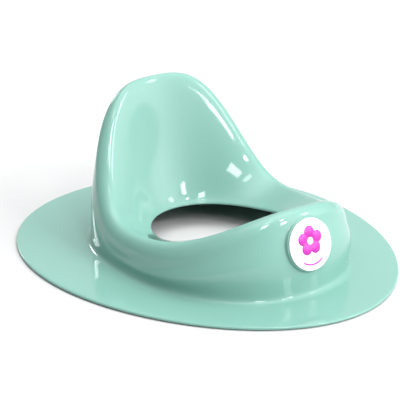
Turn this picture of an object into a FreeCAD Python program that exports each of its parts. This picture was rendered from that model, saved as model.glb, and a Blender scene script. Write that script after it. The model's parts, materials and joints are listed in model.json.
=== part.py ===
import FreeCAD, Part
import Sketcher
import math
import os

# A child's toilet training seat: one thin moulded skin with a wide flat flange, a backrest at +Y
# and a splash guard at -Y, a round badge on the guard, and four soft strips under the flange.
# Millimetres, +Z up. The strips stand on Z = 0, X = 0 is the plane of symmetry, and the origin is
# under the middle of the flange.
#
# The skin runs through closed loops, called rails, from the edge of the flange up over the crest
# and down to the rim of the hole. A rail is given by its reach to the front, side and back from
# the middle of the hole, and by its height at each angle round the seat (0 at the front).

os.makedirs("parts", exist_ok=True)
doc = FreeCAD.newDocument("training_seat")

# ---------------------------------------------------------------- driving sizes
SIZES = [
    ("flange_half_length", 189.5, "flange, half of its length along Y"),
    ("flange_half_width", 157.0, "flange, half of its width along X"),
    ("flange_egg", 0.1, "how much narrower the flange is at the front, as a share"),
    ("skin_wall", 3.0, "thickness of the moulded skin"),
    ("hole_centre_back", -10.0, "middle of the hole, along Y"),
    ("hole_front", 66.0, "reach of the hole's rim to the front"),
    ("hole_side", 57.6, "reach of the hole's rim to the side"),
    ("hole_back", 61.4, "reach of the hole's rim to the back"),
    ("hole_corner", -1.2, "change of the hole's reach between those three places"),
    ("rim_height", 23.5, "hole rim above the flange's top at the side"),
    ("rim_front_rise", 22.6, "extra height of the rim at the front"),
    ("rim_front_spread", 65.0, "angle over which that rise fades"),
    ("rim_front_sharpness", 2.4, "exponent of that rise"),
    ("base_front", 134.8, "reach of the wall's foot to the front"),
    ("base_side", 105.7, "reach of the wall's foot to the side"),
    ("base_back", 135.0, "reach of the wall's foot to the back"),
    ("foot_radius", 6.0, "fillet between the wall and the flange"),
    ("seat_height", 36.7, "crest above the flange's underside at the side"),
    ("guard_rise", 39.3, "extra height of the splash guard"),
    ("guard_spread", 45.7, "angle over which the guard fades into the side"),
    ("guard_sharpness", 2.25, "exponent of the guard's outline"),
    ("back_rise", 103.0, "extra height of the backrest"),
    ("back_spread", 51.2, "angle over which the backrest fades into the side"),
    ("back_sharpness", 3.5, "exponent of the backrest's outline"),
    ("front_lean", 0.18, "lean of the wall at the front, run over rise"),
    ("side_lean", 0.04, "lean of the wall at the side"),
    ("back_lean", 0.215, "lean of the wall at the back"),
    ("corner_lean", -0.045, "change of the lean between those three places"),
    ("front_bow", 5.4, "how far the wall bows outwards at the front"),
    ("side_bow", 1.4, "how far the wall bows outwards at the side"),
    ("back_bow", 1.2, "how far the wall bows outwards at the back"),
    ("corner_bow", 1.6, "change of the bow between those three places"),
    ("front_roll_width", 12.2, "width of the rounded crest at the front"),
    ("side_roll_width", 13.0, "width of the rounded crest at the side"),
    ("back_roll_width", 10.8, "width of the rounded crest at the back"),
    ("corner_roll_width", 2.6, "change of that width between those three places"),
    ("front_roll_height", 14.0, "height of the rounded crest at the front"),
    ("side_roll_height", 19.6, "height of the rounded crest at the side"),
    ("back_roll_height", 8.3, "height of the rounded crest at the back"),
    ("front_scoop", 1.42, "how hollow the guard's inner face is, 1 is straight"),
    ("side_scoop", 1.0, "how hollow the seat is at the side"),
    ("back_scoop", 1.64, "how hollow the backrest's face is"),
    ("badge_height", 48.0, "middle of the badge above the floor"),
    ("badge_lean", 15.5, "lean of the badge from upright, degrees"),
    ("badge_radius", 21.9, "badge disc"),
    ("boss_ledge", 1.0, "edge of the boss outside the disc, all round"),
    ("boss_stand", 0.4, "boss face beyond the wall where the wall lies furthest out"),
    ("boss_root", 1.5, "depth of the boss into the wall where the wall lies furthest back"),
    ("badge_thick", 1.4, "thickness of the badge disc"),
    ("badge_edge", 0.5, "rounding of the badge disc's front edge"),
    ("pad_inset", 2.0, "adhesive pad inside the disc's edge"),
    ("pad_thick", 0.3, "thickness of the adhesive pad"),
    ("print_thick", 0.1, "thickness of the printed layer"),
    ("petal_count", 5.0, "petals of the printed flower"),
    ("petal_radius", 5.2, "radius of a petal"),
    ("petal_reach", 7.6, "middle of a petal from the flower's middle"),
    ("flower_raise", 3.0, "flower's middle above the badge's middle"),
    ("flower_eye", 3.1, "open middle of the flower"),
    ("smile_radius", 17.6, "outer radius of the printed curve under the flower"),
    ("smile_line", 1.5, "line width of that curve"),
    ("smile_angle", 76.0, "angle that the curve covers"),
    ("strip_front_place", 40.0, "place of the front strips round the seat, degrees from the front"),
    ("strip_rear_place", 136.0, "place of the rear strips round the seat, degrees from the front"),
    ("strip_angle", 26.0, "angle that a strip covers"),
    ("strip_width", 8.0, "width of a strip"),
    ("strip_sunk", 1.2, "depth of a strip's channel in the flange"),
    ("strip_proud", 0.6, "how far the strips stand below the flange"),
    ("strip_gap", 0.15, "clearance round a strip in its channel"),
    ("strip_edge", 0.3, "rounding of a strip's lower edges"),
]

sheet = doc.addObject("Spreadsheet::Sheet", "sizes")
for row, (alias, value, note) in enumerate(SIZES, start=1):
    sheet.set(f"A{row}", str(value))
    sheet.setAlias(f"A{row}", alias)
    sheet.set(f"B{row}", note)
doc.recompute()


def size(alias):
    """Value of one cell of the sheet."""
    return float(sheet.get(alias))


# ---------------------------------------------------------------- rails of the skin
COLUMNS = 72  # points round each rail
FLANGE_RAILS = 3  # first rails, which lie on the flat flange
PAST_FOOT = 2.0  # distance of the last of them outside the wall's foot

FLANGE_UNDER = size("strip_proud")
FLANGE_TOP = FLANGE_UNDER + size("skin_wall")
CENTRE = size("hole_centre_back")
LIP_REACH = 0.6 * size("skin_wall")  # how far a rounded edge stands out past its last rail
LIP_STEPS = (0.12, 0.88)  # shares of the way across the skin of the two rails that round an edge
LIP_PULL = 24.0 / 23.0  # how much further out those rails lie than the surface that they shape


def ends(angle, front, side, back, corner=0.0):
    """Smooth value round the seat that is front, side and back at those three places."""
    c = math.cos(angle)
    smooth = side + 0.5 * (front - back) * c + (0.5 * (front + back) - side) * c * c
    return smooth + corner * math.sin(2.0 * angle) ** 2


def named_ends(angle, *aliases):
    return ends(angle, *[size(alias) for alias in aliases])


def bell(angle, spread, sharpness):
    """1 at angle 0, fading to 0 on both sides of it."""
    return math.exp(-abs(angle / math.radians(spread)) ** sharpness)


def polar(angle, radius, height):
    return FreeCAD.Vector(radius * math.sin(angle), CENTRE - radius * math.cos(angle), height)


def flange_point(angle):
    """Start of the flange's rounded edge, on an egg that is narrower at the front."""
    c = math.cos(angle)
    half_width = size("flange_half_width") - LIP_REACH
    half_length = size("flange_half_length") - LIP_REACH
    x = half_width * math.sin(angle) * (1.0 - size("flange_egg") * c)
    return FreeCAD.Vector(x, -half_length * c, FLANGE_TOP)


def crest_height(angle):
    behind = math.pi - abs(angle)
    guard = size("guard_rise") * bell(angle, size("guard_spread"), size("guard_sharpness"))
    back = size("back_rise") * bell(behind, size("back_spread"), size("back_sharpness"))
    return FLANGE_UNDER + size("seat_height") + guard + back


def rim_height(angle):
    rise = size("rim_front_rise") * bell(angle, size("rim_front_spread"), size("rim_front_sharpness"))
    return FLANGE_UNDER + size("rim_height") + rise


# Control steps of the profile. Fillet: share of the foot radius inwards and upwards.
# Roll: share of its width outwards and of its height upwards. Seat: share of the way to the rim.
FILLET_STEPS = ((0.35, 0.0), (0.95, 0.35), (1.03, 1.2))
ROLL_STEPS = ((1.0, 0.0), (0.93, 0.5), (0.6, 0.95), (0.1, 1.03))
SEAT_STEPS = (0.12, 0.4, 0.7, 0.9, 1.0)


def profile(angle):
    """Control points of the skin's outer side at one angle, from the flange's edge to the rim."""
    base = named_ends(angle, "base_front", "base_side", "base_back")
    fillet = size("foot_radius")
    lean = named_ends(angle, "front_lean", "side_lean", "back_lean", "corner_lean")
    bow = named_ends(angle, "front_bow", "side_bow", "back_bow", "corner_bow")
    roll_width = named_ends(
        angle, "front_roll_width", "side_roll_width", "back_roll_width", "corner_roll_width"
    )
    roll_height = named_ends(angle, "front_roll_height", "side_roll_height", "back_roll_height")
    scoop = named_ends(angle, "front_scoop", "side_scoop", "back_scoop")
    rim = named_ends(angle, "hole_front", "hole_side", "hole_back", "hole_corner") + LIP_REACH
    low = rim_height(angle)
    top = crest_height(angle)

    crease_height = top - roll_height
    crease = base - fillet - lean * (crease_height - FLANGE_TOP - fillet)
    crest = crease - roll_width

    edge = flange_point(angle)
    foot = polar(angle, base, FLANGE_TOP)
    points = [edge, edge * 0.5 + foot * 0.5, polar(angle, base + PAST_FOOT, FLANGE_TOP)]
    for inwards, upwards in FILLET_STEPS:
        points.append(polar(angle, base - inwards * fillet, FLANGE_TOP + upwards * fillet))
    wall_start = points[-1]
    wall_end = polar(angle, crease, crease_height)
    points.append(wall_start * 0.5 + wall_end * 0.5 + polar(angle, bow, 0.0) - polar(angle, 0.0, 0.0))
    for outwards, upwards in ROLL_STEPS:
        points.append(polar(angle, crest + outwards * roll_width, crease_height + upwards * roll_height))
    for share in SEAT_STEPS:
        radius = crest + (rim - crest) * share
        points.append(polar(angle, radius, low + (top - low) * (1.0 - share) ** scoop))
    return points


def through(loop):
    """Poles of a closed cubic curve that passes through the points of a loop."""
    poles = []
    for i, point in enumerate(loop):
        bend = loop[i - 1] + loop[(i + 1) % len(loop)] - point * 2.0
        poles.append(point - bend * (1.0 / 6.0))
    return poles


def closed_skin():
    """Outer side, rounded rim, inner side and rounded flange edge as one closed surface."""
    wall = size("skin_wall")
    angles = [2.0 * math.pi * i / COLUMNS - math.pi for i in range(COLUMNS)]
    outer = [profile(angle) for angle in angles]
    rows = len(outer[0])
    loops = []
    for j in range(rows):
        loops.append([outer[i][j] for i in range(COLUMNS)])
    inner = []
    for j in range(rows):
        loop = []
        for i in range(COLUMNS):
            around = loops[j][(i + 1) % COLUMNS] - loops[j][i - 1]
            if j < FLANGE_RAILS:
                along = polar(angles[i], -1.0, 0.0) - polar(angles[i], 0.0, 0.0)
            else:
                along = loops[min(j + 1, rows - 1)][i] - loops[j - 1][i]
            normal = around.cross(along).normalize()
            loop.append(loops[j][i] - normal * wall)
        inner.append(loop)

    def lip(first, second, before):
        """Two rails that round the edge from one side of the skin to the other."""
        rails = ([], [])
        for i in range(COLUMNS):
            out = (first[i] - before[i]).normalize() * (LIP_REACH * LIP_PULL)
            for rail, share in zip(rails, LIP_STEPS):
                rail.append(first[i] + out + (second[i] - first[i]) * share)
        return rails

    rim_lip = lip(loops[-1], inner[-1], loops[-2])
    edge_lip = lip(inner[0], loops[0], inner[1])
    ring = loops + list(rim_lip) + inner[::-1] + list(edge_lip)
    columns = [through(loop) for loop in ring]
    poles = [[columns[j][i] for j in range(len(ring))] for i in range(COLUMNS)]
    surface = Part.BSplineSurface()
    surface.buildFromPolesMultsKnots(
        poles,
        [1] * (COLUMNS + 1),
        [1] * (len(ring) + 1),
        [float(i) for i in range(COLUMNS + 1)],
        [float(j) for j in range(len(ring) + 1)],
        True,
        True,
        3,
        3,
    )
    return surface


def check(thing):
    """Stop if an object of the document failed or its shape is empty or broken."""
    if "Invalid" in thing.State or "Error" in thing.State:
        raise ValueError(f"{thing.Label} failed")
    shape = getattr(thing, "Shape", None)
    if shape is not None and (shape.isNull() or not shape.isValid()):
        raise ValueError(f"{thing.Label} has no sound shape")


# ---------------------------------------------------------------- seat shell
skin = doc.addObject("Part::Feature", "moulded_skin")
skin.Shape = Part.Solid(Part.Shell([closed_skin().toShape()]))


def wall_point(height):
    """Point of the front wall on the plane of symmetry at a height."""
    line = Part.makeLine(
        FreeCAD.Vector(0.0, -2.0 * size("flange_half_length"), height),
        FreeCAD.Vector(0.0, CENTRE, height),
    )
    return min((vertex.Point for vertex in skin.Shape.section(line).Vertexes), key=lambda p: p.y)


# Frame of the badge: its origin is in the middle of the boss face, Z points out of the guard.
PROBES = 8  # heights at which the wall is measured above and below the middle of the badge
lean = math.radians(size("badge_lean"))
outwards = FreeCAD.Vector(0.0, -math.cos(lean), math.sin(lean))
badge_turn = FreeCAD.Rotation(FreeCAD.Vector(1.0, 0.0, 0.0), 90.0 - size("badge_lean"))
boss_radius = size("badge_radius") + size("boss_ledge")
wall_middle = wall_point(size("badge_height"))
proud = 0.0
for k in range(-PROBES, PROBES + 1):
    height = size("badge_height") + boss_radius * math.cos(lean) * k / PROBES
    proud = max(proud, (wall_point(height) - wall_middle).dot(outwards))
boss_face = wall_middle + outwards * (proud + size("boss_stand"))


def on_badge(thing, x, y, z):
    """Place an object in the badge's frame."""
    frame = FreeCAD.Placement(boss_face, badge_turn)
    thing.Placement = frame.multiply(FreeCAD.Placement(FreeCAD.Vector(x, y, z), FreeCAD.Rotation()))


def gap_to_wall(turn):
    """Distance from the plane of the boss face back to the wall, at one place on the boss's edge."""
    frame = FreeCAD.Placement(boss_face, badge_turn)
    edge = FreeCAD.Vector(math.cos(turn), math.sin(turn), 0.0) * boss_radius
    start = frame.multVec(edge)
    line = Part.makeLine(start, start - outwards * size("badge_radius"))
    return min(vertex.Point.distanceToPoint(start) for vertex in skin.Shape.section(line).Vertexes)


boss_depth = max(gap_to_wall(turn) for turn in (0.0, 0.5 * math.pi, -0.5 * math.pi)) + size("boss_root")
boss = doc.addObject("Part::Cylinder", "badge_boss")
boss.setExpression("Radius", "sizes.badge_radius + sizes.boss_ledge")
boss.Height = boss_depth
on_badge(boss, 0.0, 0.0, -boss_depth)
print(f"boss: {boss_depth:.2f} mm deep")

body = doc.addObject("Part::MultiFuse", "shell_with_boss")
body.Shapes = [skin, boss]


def strip_place(alias):
    """Radius and direction from +X, in degrees, of the middle of the flange's width at one place."""
    angle = math.radians(size(alias))
    base = named_ends(angle, "base_front", "base_side", "base_back")
    middle = flange_point(angle) * 0.5 + polar(angle, base, FLANGE_TOP) * 0.5
    return math.hypot(middle.x, middle.y), math.degrees(math.atan2(middle.y, middle.x))


front_radius, front_direction = strip_place("strip_front_place")
rear_radius, rear_direction = strip_place("strip_rear_place")
print(f"front strips: radius {front_radius:.2f}, direction {front_direction:.2f}")
print(f"rear strips: radius {rear_radius:.2f}, direction {rear_direction:.2f}")
STRIPS = {
    "anti_slip_strip_front_right": (front_radius, front_direction),
    "anti_slip_strip_front_left": (front_radius, 180.0 - front_direction),
    "anti_slip_strip_rear_right": (rear_radius, rear_direction),
    "anti_slip_strip_rear_left": (rear_radius, 180.0 - rear_direction),
}


def turned(direction):
    return FreeCAD.Placement(
        FreeCAD.Vector(), FreeCAD.Rotation(FreeCAD.Vector(0.0, 0.0, 1.0), direction)
    )


def channel(name, middle, direction):
    """Tool that cuts a strip's channel into the flange, a strip's size with clearance all round."""
    gap_angle = math.degrees(size("strip_gap") / middle)
    start = direction - 0.5 * size("strip_angle") - gap_angle
    pieces = []
    for side, sign in (("outside", "+"), ("inside", "-")):
        piece = doc.addObject("Part::Cylinder", f"{name}_{side}")
        piece.setExpression("Radius", f"{middle} {sign} (sizes.strip_width / 2 + sizes.strip_gap)")
        piece.setExpression("Height", "sizes.strip_proud + sizes.strip_sunk")
        piece.Angle = size("strip_angle") + 2.0 * gap_angle
        piece.Placement = turned(start)
        pieces.append(piece)
    cut = doc.addObject("Part::Cut", f"{name}_channel")
    cut.Base, cut.Tool = pieces
    return cut


channels = doc.addObject("Part::MultiFuse", "strip_channels")
channels.Shapes = [channel(name, middle, turn) for name, (middle, turn) in STRIPS.items()]

seat_shell = doc.addObject("Part::Cut", "seat_shell")
seat_shell.Base = body
seat_shell.Tool = channels


# ---------------------------------------------------------------- badge
def sketch_on(part_body, plane, name):
    """New sketch on one of a body's origin planes."""
    sketch = part_body.newObject("Sketcher::SketchObject", name)
    origin_plane = [item for item in part_body.Origin.OriginFeatures if item.Role == plane][0]
    sketch.AttachmentSupport = [(origin_plane, "")]
    sketch.MapMode = "FlatFace"
    return sketch


def make_badge_disc():
    """White disc with a rounded front edge."""
    disc = doc.addObject("PartDesign::Body", "badge_disc")
    sketch = sketch_on(disc, "XY_Plane", "badge_disc_outline")
    circle = Part.Circle(FreeCAD.Vector(), FreeCAD.Vector(0, 0, 1), size("badge_radius"))
    sketch.addGeometry(circle, False)
    sketch.addConstraint(Sketcher.Constraint("Coincident", 0, 3, -1, 1))
    sketch.addConstraint(Sketcher.Constraint("Radius", 0, size("badge_radius")))
    sketch.setExpression("Constraints[1]", "sizes.badge_radius")
    pad = disc.newObject("PartDesign::Pad", "badge_disc_plate")
    pad.Profile = sketch
    pad.setExpression("Length", "sizes.badge_thick")
    doc.recompute()
    front = []
    for number, edge in enumerate(pad.Shape.Edges, start=1):
        if edge.BoundBox.ZMin > 0.5 * size("badge_thick"):
            front.append(f"Edge{number}")
    rounding = disc.newObject("PartDesign::Fillet", "badge_disc_edge")
    rounding.Base = (pad, front)
    rounding.setExpression("Radius", "sizes.badge_edge")
    on_badge(disc, 0.0, 0.0, size("pad_thick"))
    return disc


def make_badge_adhesive():
    """Round pad of double-sided tape between the disc and the boss."""
    pad = doc.addObject("Part::Cylinder", "badge_adhesive")
    pad.setExpression("Radius", "sizes.badge_radius - sizes.pad_inset")
    pad.setExpression("Height", "sizes.pad_thick")
    on_badge(pad, 0.0, 0.0, 0.0)
    return pad


def printed(name, radius, x, y, angle=360.0, turn=0.0):
    """Thin round patch of ink on the disc's face."""
    patch = doc.addObject("Part::Cylinder", name)
    patch.setExpression("Radius", radius)
    patch.setExpression("Height", "sizes.print_thick")
    patch.Angle = angle
    on_badge(patch, x, y, size("pad_thick") + size("badge_thick"))
    patch.Placement = patch.Placement.multiply(turned(turn))
    return patch


def make_badge_print():
    """Printed flower with an open middle, over a curved line."""
    count = int(size("petal_count"))
    middle = size("flower_raise")
    petals = []
    for k in range(count):
        angle = math.radians(90.0 + 360.0 * k / count)
        x = size("petal_reach") * math.cos(angle)
        y = middle + size("petal_reach") * math.sin(angle)
        petals.append(printed(f"petal_{k + 1}", "sizes.petal_radius", x, y))
    petals.append(printed("flower_middle", "sizes.petal_reach", 0.0, middle))
    whole_flower = doc.addObject("Part::MultiFuse", "whole_flower")
    whole_flower.Shapes = petals
    flower = doc.addObject("Part::Cut", "flower")
    flower.Base = whole_flower
    flower.Tool = printed("flower_eye", "sizes.flower_eye", 0.0, middle)
    start = -90.0 - 0.5 * size("smile_angle")
    smile = doc.addObject("Part::Cut", "smile")
    smile.Base = printed("smile_outside", "sizes.smile_radius", 0.0, 0.0, size("smile_angle"), start)
    inside = "sizes.smile_radius - sizes.smile_line"
    smile.Tool = printed("smile_inside", inside, 0.0, 0.0, size("smile_angle"), start)
    ink = doc.addObject("Part::MultiFuse", "badge_print")
    ink.Shapes = [flower, smile]
    return ink


# ---------------------------------------------------------------- strips
def make_strip(name, middle, direction):
    """Soft strip that lies in its channel and stands a little below the flange."""
    strip = doc.addObject("PartDesign::Body", name)
    sketch = sketch_on(strip, "XZ_Plane", f"{name}_section")
    half = 0.5 * size("strip_width")
    top = size("strip_proud") + size("strip_sunk")
    corners = [(middle - half, 0.0), (middle + half, 0.0), (middle + half, top), (middle - half, top)]
    for k in range(4):
        first = FreeCAD.Vector(*corners[k], 0.0)
        second = FreeCAD.Vector(*corners[(k + 1) % 4], 0.0)
        sketch.addGeometry(Part.LineSegment(first, second), False)
    for k in range(4):
        sketch.addConstraint(Sketcher.Constraint("Coincident", k, 2, (k + 1) % 4, 1))
    sketch.addConstraint(Sketcher.Constraint("Horizontal", 0))
    sketch.addConstraint(Sketcher.Constraint("Vertical", 1))
    sketch.addConstraint(Sketcher.Constraint("Horizontal", 2))
    sketch.addConstraint(Sketcher.Constraint("Vertical", 3))
    sketch.addConstraint(Sketcher.Constraint("PointOnObject", 0, 1, -1))
    inner = sketch.addConstraint(Sketcher.Constraint("DistanceX", -1, 1, 0, 1, middle - half))
    width = sketch.addConstraint(Sketcher.Constraint("DistanceX", 0, 1, 0, 2, 2.0 * half))
    thick = sketch.addConstraint(Sketcher.Constraint("DistanceY", 1, 1, 1, 2, top))
    sketch.setExpression(f"Constraints[{inner}]", f"{middle} mm - sizes.strip_width / 2 * 1 mm")
    sketch.setExpression(f"Constraints[{width}]", "sizes.strip_width")
    sketch.setExpression(f"Constraints[{thick}]", "sizes.strip_proud + sizes.strip_sunk")
    turn = strip.newObject("PartDesign::Revolution", f"{name}_arc")
    turn.Profile = sketch
    turn.ReferenceAxis = (sketch, ["V_Axis"])
    turn.Midplane = True
    turn.setExpression("Angle", "sizes.strip_angle")
    doc.recompute()
    lower = []
    for number, edge in enumerate(turn.Shape.Edges, start=1):
        if edge.BoundBox.ZMax < 0.5 * size("strip_proud"):
            lower.append(f"Edge{number}")
    rounding = strip.newObject("PartDesign::Fillet", f"{name}_edge")
    rounding.Base = (turn, lower)
    rounding.setExpression("Radius", "sizes.strip_edge")
    strip.Placement = turned(direction)
    return strip


parts = [seat_shell, make_badge_adhesive(), make_badge_disc(), make_badge_print()]
parts += [make_strip(name, middle, direction) for name, (middle, direction) in STRIPS.items()]
doc.recompute()

for thing in doc.Objects:
    check(thing)
for part in parts:
    part.Shape.exportStep(f"parts/{part.Label}.step")
    box = part.Shape.BoundBox
    print(f"{part.Label}: {part.Shape.Volume / 1000.0:.2f} cm3, top {box.ZMax:.1f}, bottom {box.ZMin:.2f}")
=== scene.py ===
"""Looks of a toddler's toilet training seat: its glossy skin, its badge, its soft strips and the studio.

Sizes are in millimetres until a mesh is made, and MM turns them into the frame's metres.
"""

from __future__ import annotations

import json
import logging
import math
from dataclasses import dataclass, field
from enum import Enum

import bmesh
import bpy
import numpy as np
from mathutils import Matrix, Vector
from mathutils.bvhtree import BVHTree


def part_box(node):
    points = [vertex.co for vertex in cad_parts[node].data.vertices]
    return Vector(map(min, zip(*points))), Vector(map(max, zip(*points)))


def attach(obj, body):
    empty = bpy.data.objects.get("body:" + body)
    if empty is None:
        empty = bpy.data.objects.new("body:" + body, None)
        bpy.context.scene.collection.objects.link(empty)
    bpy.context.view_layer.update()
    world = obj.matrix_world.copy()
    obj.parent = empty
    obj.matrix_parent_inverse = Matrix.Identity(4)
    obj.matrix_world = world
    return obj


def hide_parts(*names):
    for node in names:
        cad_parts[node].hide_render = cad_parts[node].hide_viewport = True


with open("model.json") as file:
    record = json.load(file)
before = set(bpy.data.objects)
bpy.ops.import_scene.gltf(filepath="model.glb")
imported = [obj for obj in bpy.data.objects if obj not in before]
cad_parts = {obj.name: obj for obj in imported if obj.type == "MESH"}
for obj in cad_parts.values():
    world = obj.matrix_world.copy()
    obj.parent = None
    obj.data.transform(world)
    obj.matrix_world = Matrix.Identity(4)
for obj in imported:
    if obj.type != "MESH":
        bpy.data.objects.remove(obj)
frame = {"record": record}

MM = 0.001
BODY = "root"
WELD = 1e-6
log = logging.getLogger("training_seat")


class Slot(Enum):
    """Material slots of the record."""

    SHELL = "seat_shell"
    DISC = "badge_disc"
    TAPE = "badge_adhesive"
    INK = "badge_print"
    STRIP = "anti_slip_strip"


# ---------------------------------------------------------------- helpers


def make_object(
    name: str, points: np.ndarray, faces: list[tuple[int, ...]], material: bpy.types.Material
) -> bpy.types.Object:
    """Make a smooth-shaded mesh object.

    Args:
        name: The object's name.
        points: Vertices in millimetres, one row each.
        faces: Vertex numbers of each face.
        material: Its only material.

    Returns:
        The new object, linked to the scene.
    """
    mesh = bpy.data.meshes.new(name)
    mesh.from_pydata((points * MM).tolist(), [], faces)
    mesh.validate()
    mesh.shade_smooth()
    mesh.materials.append(material)
    thing = bpy.data.objects.new(name, mesh)
    bpy.context.scene.collection.objects.link(thing)
    return thing


def face_outwards(thing: bpy.types.Object) -> None:
    """Weld a closed mesh and turn its faces so that their normals point out.

    Args:
        thing: The object whose mesh is changed.
    """
    shape = bmesh.new()
    shape.from_mesh(thing.data)
    bmesh.ops.remove_doubles(shape, verts=shape.verts, dist=WELD)
    bmesh.ops.recalc_face_normals(shape, faces=shape.faces)
    shape.to_mesh(thing.data)
    shape.free()


def grid_faces(across: int, along: int, close_across: bool, close_along: bool) -> list[tuple[int, ...]]:
    """Quads of a grid whose vertex number is along_index * across + across_index.

    Args:
        across: Vertices in a row.
        along: Rows.
        close_across: Whether the last column meets the first.
        close_along: Whether the last row meets the first.

    Returns:
        The quads.
    """
    faces = []
    for row in range(along if close_along else along - 1):
        for column in range(across if close_across else across - 1):
            first, second = row * across, ((row + 1) % along) * across
            other = (column + 1) % across
            faces.append((first + column, first + other, second + other, second + column))
    return faces


def settle(thing: bpy.types.Object, slot: Slot, *nodes: str) -> bpy.types.Object:
    """Fix a finished piece to the frame in place of its CAD nodes.

    Args:
        thing: The finished piece.
        slot: Not used.
        nodes: The CAD nodes that it stands for.

    Returns:
        The same piece.
    """
    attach(thing, BODY)
    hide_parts(*nodes)
    log.info("%s: %d faces", thing.name, len(thing.data.polygons))
    return thing


# ---------------------------------------------------------------- finishes


class NodeSheet:
    """Short calls that lay out one material's nodes."""

    def __init__(self, name: str) -> None:
        """Start a material with an empty Principled shader."""
        self.material = bpy.data.materials.new(name)
        self.material.use_nodes = True
        self.tree = self.material.node_tree
        self.shader = self.tree.nodes["Principled BSDF"]

    def node(self, kind: str, **settings: object) -> bpy.types.Node:
        """Add a node and set its attributes or input sockets.

        Args:
            kind: The node's type name.
            settings: Attributes, or inputs by their name in lower case with underscores.

        Returns:
            The node.
        """
        made = self.tree.nodes.new(kind)
        sockets = {socket.name.lower().replace(" ", "_"): socket for socket in reversed(made.inputs.values())}
        for key, value in settings.items():
            if hasattr(made, key):
                setattr(made, key, value)
            else:
                sockets[key].default_value = value
        return made

    def join(self, start: bpy.types.NodeSocket, end: bpy.types.NodeSocket) -> None:
        """Link two sockets."""
        self.tree.links.new(start, end)

    def noise(self, scale: float, detail: float = 2.0, roughness: float = 0.5) -> bpy.types.NodeSocket:
        """Noise in object space, its scale in features per metre.

        Args:
            scale: Features per metre.
            detail: Octaves.
            roughness: Strength of the finer octaves.

        Returns:
            The noise value's socket.
        """
        place = self.node("ShaderNodeTexCoord")
        made = self.node("ShaderNodeTexNoise", scale=scale, detail=detail, roughness=roughness)
        self.join(place.outputs["Object"], made.inputs["Vector"])
        return made.outputs[0]

    def ramp(
        self, value: bpy.types.NodeSocket, low: float, high: float, start: tuple, end: tuple
    ) -> bpy.types.NodeSocket:
        """Colour ramp between two stops.

        Args:
            value: The driving value.
            low: Position of the first stop.
            high: Position of the second stop.
            start: Colour of the first stop.
            end: Colour of the second stop.

        Returns:
            The colour socket.
        """
        made = self.node("ShaderNodeValToRGB")
        made.color_ramp.elements[0].position = low
        made.color_ramp.elements[1].position = high
        made.color_ramp.elements[0].color = (*start, 1.0)
        made.color_ramp.elements[1].color = (*end, 1.0)
        self.join(value, made.inputs["Fac"])
        return made.outputs["Color"]

    def between(self, value: bpy.types.NodeSocket, low: float, high: float) -> bpy.types.NodeSocket:
        """Spread a 0 to 1 value between two limits.

        Args:
            value: The driving value.
            low: Result at 0.
            high: Result at 1.

        Returns:
            The result's socket.
        """
        made = self.node("ShaderNodeMapRange", to_min=low, to_max=high)
        self.join(value, made.inputs["Value"])
        return made.outputs["Result"]

    def bump(self, value: bpy.types.NodeSocket, depth_mm: float, strength: float = 1.0) -> None:
        """Use a value as the shader's bump.

        Args:
            value: Height from 0 to 1.
            depth_mm: Depth of the bump in millimetres.
            strength: Share of it that is used.
        """
        made = self.node("ShaderNodeBump", strength=strength, distance=depth_mm * MM)
        self.join(value, made.inputs["Height"])
        self.join(made.outputs["Normal"], self.shader.inputs["Normal"])


@dataclass(frozen=True)
class MouldedGloss:
    """Glossy injection-moulded polypropylene with faint flow clouds and a fine skin texture."""

    name: str
    colour: tuple[float, float, float]
    clouded: tuple[float, float, float]
    roughness: tuple[float, float] = (0.06, 0.1)
    ior: float = 1.46
    glow: float = 0.12
    glow_depth: float = 0.004
    glow_tint: tuple[float, float, float] = (0.7, 1.0, 0.9)
    cloud_scale: float = 9.0
    scuff_scale: float = 420.0
    grain_scale: float = 260.0
    grain_depth: float = 0.006

    def make(self) -> bpy.types.Material:
        """Make the moulded plastic.

        Returns:
            The material.
        """
        sheet = NodeSheet(self.name)
        shader = sheet.shader
        clouds = sheet.noise(self.cloud_scale, 3.0, 0.45)
        sheet.join(sheet.ramp(clouds, 0.3, 0.7, self.colour, self.clouded), shader.inputs["Base Color"])
        scuffs = sheet.noise(self.scuff_scale, 4.0, 0.6)
        sheet.join(sheet.between(scuffs, *self.roughness), shader.inputs["Roughness"])
        sheet.bump(sheet.noise(self.grain_scale, 2.0, 0.4), self.grain_depth, 0.35)
        shader.inputs["IOR"].default_value = self.ior
        shader.inputs["Subsurface Weight"].default_value = self.glow
        shader.inputs["Subsurface Scale"].default_value = self.glow_depth
        shader.inputs["Subsurface Radius"].default_value = self.glow_tint
        return sheet.material


@dataclass(frozen=True)
class PrintedInk:
    """Screen-printed ink with a faint dot screen and a slightly softer gloss than the disc."""

    name: str
    colour: tuple[float, float, float]
    worn: tuple[float, float, float]
    patch_scale: float = 300.0
    dot_scale: float = 2500.0
    dot_depth: float = 0.01

    def make(self) -> bpy.types.Material:
        """Make the ink.

        Returns:
            The material.
        """
        sheet = NodeSheet(self.name)
        patches = sheet.noise(self.patch_scale, 3.0, 0.5)
        sheet.join(sheet.ramp(patches, 0.35, 0.65, self.colour, self.worn), sheet.shader.inputs["Base Color"])
        sheet.join(sheet.between(patches, 0.22, 0.34), sheet.shader.inputs["Roughness"])
        sheet.bump(sheet.noise(self.dot_scale, 1.0), self.dot_depth, 0.4)
        return sheet.material


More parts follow.
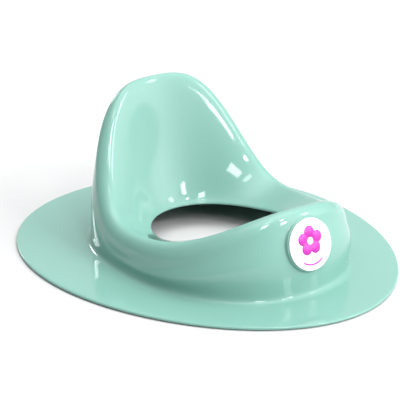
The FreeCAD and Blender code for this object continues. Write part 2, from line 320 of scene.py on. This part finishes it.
@dataclass(frozen=True)
class SoftGrip:
    """Soft matt rubber or foam with a fine pore texture."""

    name: str
    colour: tuple[float, float, float]
    dusty: tuple[float, float, float]
    dust_scale: float = 160.0
    pore_scale: float = 1500.0
    pore_depth: float = 0.05

    def make(self) -> bpy.types.Material:
        """Make the soft material.

        Returns:
            The material.
        """
        sheet = NodeSheet(self.name)
        dust = sheet.noise(self.dust_scale, 4.0, 0.6)
        sheet.join(sheet.ramp(dust, 0.35, 0.7, self.colour, self.dusty), sheet.shader.inputs["Base Color"])
        sheet.join(sheet.between(dust, 0.55, 0.75), sheet.shader.inputs["Roughness"])
        sheet.bump(sheet.noise(self.pore_scale, 2.0), self.pore_depth, 0.5)
        return sheet.material


MINT = MouldedGloss("moulded_mint", (0.192, 0.382, 0.328), (0.2, 0.392, 0.337))
WHITE = MouldedGloss(
    "moulded_white", (0.86, 0.86, 0.86), (0.82, 0.825, 0.83), roughness=(0.12, 0.22), glow=0.05
)
MAGENTA = PrintedInk("printed_magenta", (0.50, 0.016, 0.37), (0.46, 0.018, 0.34))
FOAM = SoftGrip("foam_tape", (0.62, 0.61, 0.58), (0.5, 0.49, 0.46))
RUBBER = SoftGrip("soft_rubber", (0.42, 0.5, 0.47), (0.5, 0.56, 0.54))


# ---------------------------------------------------------------- seat shell


@dataclass(frozen=True)
class Reach:
    """A size that changes smoothly round the seat."""

    front: float
    side: float
    back: float
    corner: float = 0.0

    def at(self, angle: np.ndarray) -> np.ndarray:
        """Its value round the seat.

        Args:
            angle: Angles in radians, 0 being the front.

        Returns:
            The size at each angle, in the unit of its fields.
        """
        c = np.cos(angle)
        smooth = self.side + 0.5 * (self.front - self.back) * c
        smooth += (0.5 * (self.front + self.back) - self.side) * c * c
        return smooth + self.corner * np.sin(2.0 * angle) ** 2


@dataclass(frozen=True)
class Rise:
    """Extra height that fades to both sides like a bell."""

    height: float
    spread: float
    sharpness: float

    def at(self, angle: np.ndarray) -> np.ndarray:
        """Its value at each angle from the middle of the bell."""
        return self.height * np.exp(-((np.abs(angle) / math.radians(self.spread)) ** self.sharpness))


# Between two rails that stand out equally, the skin's spline reaches 23/24 of the way out to them.
EDGE_GAIN = 24.0 / 23.0


@dataclass
class SeatShell:
    """The one-piece moulding, as a closed skin that follows rails round the seat.

    A Reach gives a size at the front, the sides and the back. The skin's section starts at the
    flange's edge and goes in over the wall's foot, up the wall, over the rolled crest and down to the hole.
    """

    flange_egg: float = 0.1
    wall: float = 3.0
    underside: float = 0.6
    centre_back: float = -10.0
    hole: Reach = Reach(66.0, 57.6, 61.4, -1.2)
    base: Reach = Reach(134.8, 105.7, 135.0)
    lean: Reach = Reach(0.18, 0.04, 0.215, -0.045)
    bow: Reach = Reach(5.4, 1.4, 1.2, 1.6)
    roll_width: Reach = Reach(12.2, 13.0, 10.8, 2.6)
    roll_height: Reach = Reach(14.0, 19.6, 8.3)
    scoop: Reach = Reach(1.42, 1.0, 1.64)
    guard: Rise = Rise(39.3, 45.7, 2.25)
    backrest: Rise = Rise(103.0, 51.2, 3.5)
    rim_rise: Rise = Rise(22.6, 65.0, 2.4)
    seat_height: float = 36.7
    rim_height: float = 23.5
    foot_radius: float = 6.0
    columns: int = 360
    steps: int = 7
    fillet_steps: tuple = ((0.35, 0.0), (0.95, 0.35), (1.03, 1.2))
    roll_steps: tuple = ((1.0, 0.0), (0.93, 0.5), (0.6, 0.95), (0.1, 1.03))
    seat_steps: tuple = (0.12, 0.4, 0.7, 0.9, 1.0)
    edge_shares: tuple = (0.12, 0.88)
    half_length: float = field(init=False)
    half_width: float = field(init=False)

    def __post_init__(self) -> None:
        """Take the flange's half length and half width from the frame."""
        low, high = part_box("seat_shell")
        self.half_length = (high.y - low.y) / 2.0 / MM
        widest = 1.0 + 0.5 * self.flange_egg**2
        self.half_width = (high.x - low.x) / 2.0 / MM / widest

    @property
    def lip(self) -> float:
        """How far a rounded edge stands out past its last rail."""
        return 0.6 * self.wall

    @property
    def top(self) -> float:
        """Height of the flange's upper face."""
        return self.underside + self.wall

    def polar(self, angle: np.ndarray, radius: np.ndarray, height: np.ndarray | float) -> np.ndarray:
        """Points at a distance from the middle of the hole.

        Args:
            angle: Angles round the seat, 0 being the front.
            radius: Distance at each angle.
            height: Height above the floor, one or at each angle.

        Returns:
            An array of angles by three.
        """
        level = np.broadcast_to(height, angle.shape)
        return np.stack([radius * np.sin(angle), self.centre_back - radius * np.cos(angle), level], -1)

    def outer_rails(self, angle: np.ndarray) -> np.ndarray:
        """Control points of the outer side, from the flange's edge to the hole's rim.

        Args:
            angle: Angles round the seat.

        Returns:
            An array of rails by angles by three.
        """
        behind = math.pi - np.abs((angle + math.pi) % (2.0 * math.pi) - math.pi)
        ahead = math.pi - behind
        base = self.base.at(angle)
        fillet = self.foot_radius
        roll_width = self.roll_width.at(angle)
        roll_height = self.roll_height.at(angle)
        rim = self.hole.at(angle) + self.lip
        low = self.underside + self.rim_height + self.rim_rise.at(ahead)
        top = self.underside + self.seat_height + self.guard.at(ahead) + self.backrest.at(behind)
        crease_height = top - roll_height
        crease = base - fillet - self.lean.at(angle) * (crease_height - self.top - fillet)
        crest = crease - roll_width

        c = np.cos(angle)
        x = (self.half_width - self.lip) * np.sin(angle) * (1.0 - self.flange_egg * c)
        edge = np.stack([x, -(self.half_length - self.lip) * c, np.full_like(c, self.top)], -1)
        foot = self.polar(angle, base, self.top)
        rails = [edge, 0.5 * (edge + foot), self.polar(angle, base + 2.0, self.top)]
        for inwards, upwards in self.fillet_steps:
            rails.append(self.polar(angle, base - inwards * fillet, self.top + upwards * fillet))
        middle = 0.5 * (rails[-1] + self.polar(angle, crease, crease_height))
        bow = self.bow.at(angle)[:, None] * np.stack([np.sin(angle), -c, np.zeros_like(c)], -1)
        rails.append(middle + bow)
        for outwards, upwards in self.roll_steps:
            height = crease_height + upwards * roll_height
            rails.append(self.polar(angle, crest + outwards * roll_width, height))
        for share in self.seat_steps:
            radius = crest + (rim - crest) * share
            height = low + (top - low) * (1.0 - share) ** self.scoop.at(angle)
            rails.append(self.polar(angle, radius, height))
        return np.stack(rails)

    def closed_rails(self, angle: np.ndarray) -> np.ndarray:
        """Rails of the whole closed skin: outer side, rim, inner side and flange edge.

        Args:
            angle: Angles round the seat.

        Returns:
            An array of rails by angles by three.
        """
        near = math.radians(5.0)
        outer = self.outer_rails(angle)
        around = self.outer_rails(angle + near) - self.outer_rails(angle - near)
        along = np.empty_like(outer)
        along[1:-1] = outer[2:] - outer[:-2]
        along[-1] = outer[-1] - outer[-2]
        along[:3] = -self.polar(angle, np.ones_like(angle), 0.0)
        along[:3, :, 1] += self.centre_back
        normal = np.cross(around, along)
        normal /= np.linalg.norm(normal, axis=-1, keepdims=True)
        inner = outer - self.wall * normal

        def rounded(first: np.ndarray, second: np.ndarray, before: np.ndarray) -> list[np.ndarray]:
            """Two rails round an edge, from one side of the skin to the other.

            Args:
                first: Rail on the side that the edge is reached from.
                second: Rail on the other side.
                before: Rail next to the first, away from the edge.

            Returns:
                The two rails, which round the edge and reach the lip past it.
            """
            out = first - before
            out *= self.lip * EDGE_GAIN / np.linalg.norm(out, axis=-1, keepdims=True)
            return [first + out + (second - first) * share for share in self.edge_shares]

        rim = rounded(outer[-1], inner[-1], outer[-2])
        edge = rounded(inner[0], outer[0], inner[1])
        return np.stack([*outer, *rim, *inner[::-1], *edge])

    def skin_points(self) -> tuple[np.ndarray, int]:
        """Vertices of the skin, whose rows follow a closed cubic B-spline over the rails.

        Returns:
            The vertices, row by row, and the number of rows.
        """
        angle = np.linspace(-math.pi, math.pi, self.columns, endpoint=False)
        rails = self.closed_rails(angle)
        rows = []
        count = len(rails)
        for rail in range(count):
            before, start, end, after = (rails[(rail + k) % count] for k in (-1, 0, 1, 2))
            for step in range(self.steps):
                f = step / self.steps
                row = (1.0 - f) ** 3 * before + f**3 * after
                row += (3.0 * f**3 - 6.0 * f**2 + 4.0) * start
                row += (1.0 + 3.0 * f + 3.0 * f**2 - 3.0 * f**3) * end
                rows.append(row / 6.0)
        return np.concatenate(rows), len(rows)

    def build(self, material: bpy.types.Material) -> bpy.types.Object:
        """Build the shell.

        Args:
            material: Finish of the moulding.

        Returns:
            The shell, fixed to the frame.
        """
        points, rows = self.skin_points()
        faces = grid_faces(self.columns, rows, True, True)
        shell = make_object("seat_shell_skin", points, faces, material)
        face_outwards(shell)
        return settle(shell, Slot.SHELL, "seat_shell")


# ---------------------------------------------------------------- badge


@dataclass
class Badge:
    """The round badge: its boss, tape, disc and print, all in one leaning frame."""

    lean: float = 15.5
    boss_radius: float = 22.9
    boss_depth: float = 4.6
    boss_edge: float = 0.5
    boss_fillet: float = 1.0
    disc_radius: float = 21.9
    disc_thick: float = 1.4
    disc_edge: float = 0.5
    tape_inset: float = 2.0
    tape_thick: float = 0.3
    ink_thick: float = 0.1
    petals: int = 5
    petal_radius: float = 5.2
    petal_reach: float = 7.6
    flower_raise: float = 3.0
    flower_eye: float = 3.1
    smile_radius: float = 17.6
    smile_line: float = 1.5
    smile_angle: float = 76.0
    flower_points: int = 300
    smile_points: int = 60
    segments: int = 160
    probe_height: float = 20.0
    place: Matrix = field(init=False)

    def __post_init__(self) -> None:
        """Take the badge's place from the tape's box, whose middle is the tape's own middle."""
        low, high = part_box("badge_adhesive")
        turn = Matrix.Rotation(math.radians(90.0 - self.lean), 4, "X")
        outwards = turn @ Vector((0.0, 0.0, 1.0))
        face = (low + high) / 2.0 / MM - outwards * (self.tape_thick / 2.0)
        self.place = Matrix.Translation(face) @ turn

    def placed(self, points: np.ndarray) -> np.ndarray:
        """Carry points from the badge's frame into the seat's frame."""
        turn = np.array(self.place.to_3x3())
        return points @ turn.T + np.array(self.place.translation)

    def lathe(
        self, name: str, outline: list[tuple[float, float]], material: bpy.types.Material
    ) -> bpy.types.Object:
        """Turn an outline of radius and height about the badge's axis into a closed piece.

        Args:
            name: Name of the piece.
            outline: Radius and height, starting and ending on the axis.
            material: Its finish.

        Returns:
            The piece, not yet fixed.
        """
        turns = np.linspace(0.0, 2.0 * math.pi, self.segments, endpoint=False)
        rings = [
            np.stack([radius * np.cos(turns), radius * np.sin(turns), np.full_like(turns, height)], -1)
            for radius, height in outline[1:-1]
        ]
        poles = np.array([[0.0, 0.0, outline[0][1]], [0.0, 0.0, outline[-1][1]]])
        points = np.concatenate([*rings, poles])
        faces = grid_faces(self.segments, len(rings), True, False)
        last = (len(rings) - 1) * self.segments
        start_pole, end_pole = len(points) - 2, len(points) - 1
        for k in range(self.segments):
            other = (k + 1) % self.segments
            faces.append((start_pole, other, k))
            faces.append((end_pole, last + k, last + other))
        thing = make_object(name, self.placed(points), faces, material)
        face_outwards(thing)
        return thing

    @staticmethod
    def rounding(radius: float, height: float, edge: float, count: int = 6) -> list[tuple[float, float]]:
        """Quarter round from the side of a disc up onto its face.

        Args:
            radius: Outer radius of the disc.
            height: Height of its face.
            edge: Radius of the rounding.
            count: Steps of the quarter round.

        Returns:
            Radius and height of each step.
        """
        steps = []
        for k in range(count + 1):
            turn = 0.5 * math.pi * k / count
            steps.append((radius - edge * (1.0 - math.cos(turn)), height - edge * (1.0 - math.sin(turn))))
        return steps

    def build_boss(self, shell: bpy.types.Object, material: bpy.types.Material) -> bpy.types.Object:
        """Flat boss moulded onto the guard, with a fillet that follows the wall.

        Args:
            shell: The shell that it grows out of.
            material: Finish of the moulding.

        Returns:
            The boss, fixed to the frame.
        """
        graph = bpy.context.evaluated_depsgraph_get()
        wall = BVHTree.FromObject(shell, graph)
        outwards = (self.place.to_3x3() @ Vector((0.0, 0.0, 1.0))).normalized()

        def wall_height(x: float, y: float) -> float:
            """Height of the guard's outer face in the badge's frame.

            Args:
                x: Place across the badge, in millimetres.
                y: Place up the badge.

            Returns:
                The height, below zero where the face lies behind the boss's own.
            """
            start = (self.place @ Vector((x, y, self.probe_height))) * MM
            hit = wall.ray_cast(start, -outwards)[0]
            return self.probe_height - (start - hit).length / MM

        turns = np.linspace(0.0, 2.0 * math.pi, self.segments, endpoint=False)
        rings: list[list[tuple[float, float, float]]] = []
        for turn in turns:
            c, s = math.cos(turn), math.sin(turn)
            radius, fillet = self.boss_radius, self.boss_fillet
            ground = wall_height((radius + fillet) * c, (radius + fillet) * s)
            inner = wall_height(radius * c, radius * s)
            step = max(0.0, -inner)
            rise = min(fillet, 0.7 * step)
            column = [(0.3 * radius, -self.boss_depth), (radius - 1.0, -self.boss_depth)]
            column += [(radius, -self.boss_depth + 1.0), (radius + 0.5 * fillet, ground - 1.0)]
            column += [(radius + fillet, ground - 0.03)]
            for k in range(1, 7):
                sweep = 0.5 * math.pi * k / 6.0
                along = radius + fillet * (1.0 - math.sin(sweep))
                level = ground + (inner - ground) * math.sin(sweep) + rise * (1.0 - math.cos(sweep))
                column.append((along, level))
            edge = min(self.boss_edge, max(0.05, 0.8 * (step - rise) + 0.05))
            column += self.rounding(radius, 0.0, edge)
            column += [(0.97 * radius - edge, 0.0), (0.5 * radius, 0.0)]
            rings.append([(r * c, r * s, h) for r, h in column])
        points = np.array(rings).transpose(1, 0, 2)
        count = points.shape[0]
        flat = points.reshape(-1, 3)
        poles = np.array([[0.0, 0.0, -self.boss_depth], [0.0, 0.0, 0.0]])
        faces = grid_faces(self.segments, count, True, False)
        last = (count - 1) * self.segments
        for k in range(self.segments):
            other = (k + 1) % self.segments
            faces.append((len(flat), other, k))
            faces.append((len(flat) + 1, last + k, last + other))
        boss = make_object("seat_shell_boss", self.placed(np.concatenate([flat, poles])), faces, material)
        face_outwards(boss)
        return settle(boss, Slot.SHELL, "seat_shell")

    def build_tape(self, material: bpy.types.Material) -> bpy.types.Object:
        """Build the foam tape between the boss and the disc.

        Args:
            material: Finish of the tape.

        Returns:
            The tape, fixed to the frame.
        """
        radius, thick = self.disc_radius - self.tape_inset, self.tape_thick
        outline = [(0.0, 0.0), (radius - 0.1, 0.0), (radius, 0.08), (radius - 0.06, thick / 2.0)]
        outline += [(radius, thick - 0.08), (radius - 0.1, thick), (0.0, thick)]
        return settle(self.lathe("badge_foam_tape", outline, material), Slot.TAPE, "badge_adhesive")

    def build_disc(self, material: bpy.types.Material) -> bpy.types.Object:
        """Build the white disc, with a rounded rim and a flat face.

        Args:
            material: Finish of the disc.

        Returns:
            The disc, fixed to the frame.
        """
        low, high = self.tape_thick, self.tape_thick + self.disc_thick
        outline = [(0.0, low), (self.disc_radius - 0.25, low), (self.disc_radius, low + 0.25)]
        outline += self.rounding(self.disc_radius, high, self.disc_edge)
        outline += [(self.disc_radius - 2.0, high), (0.6 * self.disc_radius, high), (0.0, high)]
        return settle(self.lathe("badge_disc_face", outline, material), Slot.DISC, "badge_disc")

    def ink_band(self, inner: np.ndarray, outer: np.ndarray, closed: bool) -> tuple[np.ndarray, list]:
        """Thin raised band of ink between two lines.

        Args:
            inner: Points of the inner line, in the badge's plane.
            outer: Points of the outer line.
            closed: Whether the band meets its own start.

        Returns:
            Vertices and faces of the closed band.
        """
        base = self.tape_thick + self.disc_thick
        bevel = 0.35 * self.ink_thick
        rows = []
        for share, height in ((0.0, 0.0), (0.0, 0.6), (0.0, 1.0), (1.0, 1.0), (1.0, 0.6), (1.0, 0.0)):
            line = inner + (outer - inner) * share
            if height == 1.0:
                towards = (outer - inner) * (1.0 if share == 0.0 else -1.0)
                line = line + bevel * towards / np.linalg.norm(towards, axis=1, keepdims=True)
            level = np.full((len(line), 1), base + height * self.ink_thick)
            rows.append(np.hstack([line, level]))
        points = np.stack(rows, 1).reshape(-1, 3)
        faces = grid_faces(len(rows), len(inner), True, closed)
        if not closed:
            faces.append(tuple(range(len(rows))))
            faces.append(tuple(range(len(points) - len(rows), len(points))))
        return points, faces

    def build_print(self, material: bpy.types.Material) -> bpy.types.Object:
        """Printed flower over a curved line.

        Args:
            material: Finish of the ink.

        Returns:
            The print, fixed to the frame.
        """
        turns = np.linspace(0.0, 2.0 * math.pi, self.flower_points, endpoint=False)
        turn = 2.0 * math.pi / self.petals
        off = (turns - 0.5 * math.pi + 0.5 * turn) % turn - 0.5 * turn
        reach = self.petal_reach * np.cos(off)
        reach += np.sqrt(self.petal_radius**2 - (self.petal_reach * np.sin(off)) ** 2)
        way = np.stack([np.cos(turns), np.sin(turns)], -1)
        middle = np.array([0.0, self.flower_raise])
        eye = middle + way * self.flower_eye
        outline = middle + way * reach[:, None]
        flower, flower_faces = self.ink_band(eye, outline, True)
        share = np.linspace(-1.0, 1.0, self.smile_points)
        arc = np.radians(-90.0 + 0.5 * share * self.smile_angle)
        way = np.stack([np.cos(arc), np.sin(arc)], -1)
        taper = np.sqrt(np.clip(1.0 - share**10, 0.02, 1.0))[:, None]
        centre_line = self.smile_radius - 0.5 * self.smile_line
        inner = way * (centre_line - 0.5 * self.smile_line * taper)
        outer = way * (centre_line + 0.5 * self.smile_line * taper)
        smile, smile_faces = self.ink_band(inner, outer, False)
        start = len(flower)
        faces = flower_faces + [tuple(start + k for k in face) for face in smile_faces]
        ink = make_object("badge_print_ink", self.placed(np.concatenate([flower, smile])), faces, material)
        face_outwards(ink)
        return settle(ink, Slot.INK, "badge_print")


# ---------------------------------------------------------------- strips


@dataclass
class GripStrip:
    """One soft strip under the flange, ribbed on the side that grips.

    Its mount in the record lies at the middle of its arc, and the arc is drawn about the seat's middle.
    """

    place: str
    mount: Vector
    sweep: float = 26.0
    width: float = 8.0
    thick: float = 1.8
    edge: float = 0.3
    ribs: int = 5
    rib_depth: float = 0.25
    stations: int = 60

    @property
    def node(self) -> str:
        """Name of the strip's CAD node."""
        return f"{Slot.STRIP.value}_{self.place}"

    def section(self) -> list[tuple[float, float]]:
        """Draw the strip's closed outline.

        Returns:
            Distance from the strip's middle line and height of each point.
        """
        half, top = 0.5 * self.width, self.thick
        outline = [(half, top), (-half, top), (-half, self.edge)]
        for k in range(5):
            turn = 0.5 * math.pi * k / 4.0
            outline.append((-half + self.edge * (1.0 - math.cos(turn)), self.edge * (1.0 - math.sin(turn))))
        run = self.width - 2.0 * self.edge
        for k in range(1, self.ribs * 6):
            share = k / (self.ribs * 6)
            groove = max(0.0, -math.cos(2.0 * math.pi * share * self.ribs)) ** 0.5
            outline.append((-half + self.edge + run * share, self.rib_depth * groove))
        for k in range(5):
            turn = 0.5 * math.pi * (1.0 - k / 4.0)
            outline.append((half - self.edge * (1.0 - math.cos(turn)), self.edge * (1.0 - math.sin(turn))))
        return outline

    def build(self, material: bpy.types.Material) -> bpy.types.Object:
        """Sweep the section along the arc.

        Args:
            material: Finish of the strip.

        Returns:
            The strip, fixed to the frame.
        """
        outline = np.array(self.section())
        middle = math.atan2(self.mount.y, self.mount.x)
        spread = middle + np.radians(self.sweep) * np.linspace(-0.5, 0.5, self.stations)
        reach = self.mount.xy.length / MM + outline[:, 0]
        rows = []
        for turn in spread:
            rows.append(np.stack([reach * math.cos(turn), reach * math.sin(turn), outline[:, 1]], -1))
        points = np.concatenate(rows)
        faces = grid_faces(len(outline), self.stations, True, False)
        faces.append(tuple(range(len(outline))))
        faces.append(tuple(range(len(points) - len(outline), len(points))))
        strip = make_object(f"{self.node}_ribbed", points, faces, material)
        face_outwards(strip)
        return settle(strip, Slot.STRIP, self.node)


# ---------------------------------------------------------------- studio


@dataclass(frozen=True)
class Glow:
    """Bright place on the diffusing tent, fading smoothly away from its middle."""

    azimuth: float
    elevation: float
    peak: float
    falloff: float


@dataclass(frozen=True)
class SoftBox:
    """Rectangular soft light that faces the seat, its size and distance in metres, its power in watts."""

    name: str
    azimuth: float
    elevation: float
    distance: float
    size: tuple[float, float]
    power: float


@dataclass
class Studio:
    """Plain pale floor, soft lights and the camera."""

    azimuth: float = -37.163
    elevation: float = 22.538
    distance: float = 1.5
    lens: float = 150.95
    look_at: tuple[float, float, float] = (0.002415, 0.018712, 0.039449)
    floor_size: float = 14.0
    cloth_level: float = 0.05
    glows: tuple[Glow, ...] = (
        Glow(35.0, 80.0, 4.3, 6.0),
        Glow(40.0, 6.0, 3.7, 5.0),
        Glow(150.0, 20.0, 0.85, 3.0),
        Glow(-110.0, 15.0, 0.25, 3.0),
    )
    boxes: tuple[SoftBox, ...] = (
        SoftBox("key", 9.0, 39.0, 2.4, (0.2, 0.2), 7.5),
        SoftBox("right_front_box", 10.0, 20.0, 2.2, (0.26, 0.44), 7.5),
        SoftBox("right_box", 42.0, 26.0, 2.2, (0.3, 0.5), 4.5),
        SoftBox("left_front_box", -19.0, 39.0, 2.2, (0.32, 0.56), 9.0),
        SoftBox("upper_box", -16.0, 57.0, 2.2, (0.4, 0.25), 2.5),
        SoftBox("back_box", 180.0, 21.0, 2.2, (0.4, 0.4), 5.5),
    )

    def direction(self, azimuth: float, elevation: float) -> Vector:
        """Unit vector from the seat towards a place round it.

        Args:
            azimuth: Degrees from the front, positive towards +X.
            elevation: Degrees above the floor.

        Returns:
            The vector.
        """
        a, e = math.radians(azimuth), math.radians(elevation)
        return Vector((math.sin(a) * math.cos(e), -math.cos(a) * math.cos(e), math.sin(e)))

    def build_camera(self) -> bpy.types.Object:
        """Set up the camera at the viewing angle.

        Returns:
            The camera.
        """
        data = bpy.data.cameras.new("camera")
        data.lens = self.lens
        data.clip_end = 60.0
        camera = bpy.data.objects.new("camera", data)
        bpy.context.scene.collection.objects.link(camera)
        camera.location = self.direction(self.azimuth, self.elevation) * self.distance
        towards = Vector(self.look_at) - camera.location
        camera.rotation_mode = "QUATERNION"
        camera.rotation_quaternion = towards.to_track_quat("-Z", "Y")
        bpy.context.scene.camera = camera
        return camera

    def build_floor(self) -> bpy.types.Object:
        """Lay the pale floor under the seat.

        Returns:
            The floor.
        """
        sheet = NodeSheet("pale_floor")
        tone = sheet.noise(3.0, 2.0)
        pale = sheet.ramp(tone, 0.3, 0.7, (0.57, 0.57, 0.57), (0.59, 0.59, 0.59))
        sheet.join(pale, sheet.shader.inputs["Base Color"])
        sheet.shader.inputs["Roughness"].default_value = 0.9
        sheet.shader.inputs["Specular IOR Level"].default_value = 0.0
        half = self.floor_size / 2.0 / MM
        points = np.array([[-half, -half, 0.0], [half, -half, 0.0], [half, half, 0.0], [-half, half, 0.0]])
        floor = make_object("floor", points, [(0, 1, 2, 3)], sheet.material)
        return floor

    def hang(self, box: SoftBox) -> bpy.types.Object:
        """Hang a soft light in its place.

        Args:
            box: The light's place, size and power.

        Returns:
            The light, which the camera itself doesn't see.
        """
        data = bpy.data.lights.new(box.name, "AREA")
        data.shape = "RECTANGLE"
        data.size, data.size_y = box.size
        data.energy = box.power
        light = bpy.data.objects.new(box.name, data)
        bpy.context.scene.collection.objects.link(light)
        light.location = self.direction(box.azimuth, box.elevation) * box.distance
        light.rotation_mode = "QUATERNION"
        light.rotation_quaternion = (-light.location).to_track_quat("-Z", "Y")
        light.visible_camera = False
        return light

    def build_surround(self) -> None:
        """Tent of diffusing cloth round the seat, brightest where its glows are."""
        world = bpy.data.worlds.new("surround")
        world.use_nodes = True
        tree = world.node_tree

        def math_node(operation: str, second: float) -> bpy.types.Node:
            """Add a math node.

            Args:
                operation: What it works out.
                second: Its second value.

            Returns:
                The node.
            """
            made = tree.nodes.new("ShaderNodeMath")
            made.operation = operation
            made.inputs[1].default_value = second
            return made

        place = tree.nodes.new("ShaderNodeTexCoord")
        total = None
        for glow in self.glows:
            facing = tree.nodes.new("ShaderNodeVectorMath")
            facing.operation = "DOT_PRODUCT"
            facing.inputs[1].default_value = self.direction(glow.azimuth, glow.elevation)
            lit_side = math_node("MAXIMUM", 0.0)
            fade = math_node("POWER", glow.falloff)
            level = math_node("MULTIPLY_ADD", glow.peak)
            tree.links.new(place.outputs["Generated"], facing.inputs[0])
            tree.links.new(facing.outputs["Value"], lit_side.inputs[0])
            tree.links.new(lit_side.outputs[0], fade.inputs[0])
            tree.links.new(fade.outputs[0], level.inputs[0])
            if total is None:
                level.inputs[2].default_value = self.cloth_level
            else:
                tree.links.new(total, level.inputs[2])
            total = level.outputs[0]
        background = tree.nodes["Background"]
        background.inputs["Color"].default_value = (0.98, 1.0, 1.0, 1.0)
        tree.links.new(total, background.inputs["Strength"])
        bpy.context.scene.world = world
        bpy.context.scene.view_settings.view_transform = "Standard"

    def build_lights(self) -> None:
        """Diffusing tent, a small key that casts the shadow, and boxes for the highlights."""
        self.build_surround()
        for box in self.boxes:
            self.hang(box)


def main() -> None:
    """Build every piece round the frame and report it."""
    logging.basicConfig(level=logging.INFO, format="%(message)s")
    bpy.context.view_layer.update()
    studio = Studio()
    studio.build_camera()
    studio.build_floor()
    studio.build_lights()

    mint = MINT.make()
    shell = SeatShell().build(mint)
    badge = Badge()
    badge.build_boss(shell, mint)
    badge.build_tape(FOAM.make())
    badge.build_disc(WHITE.make())
    badge.build_print(MAGENTA.make())
    rubber = RUBBER.make()
    for mount in frame["record"]["mounts"]:
        GripStrip(mount["name"].removesuffix("_grip"), Vector(mount["pos_m"])).build(rubber)


if __name__ == "__main__":
    main()
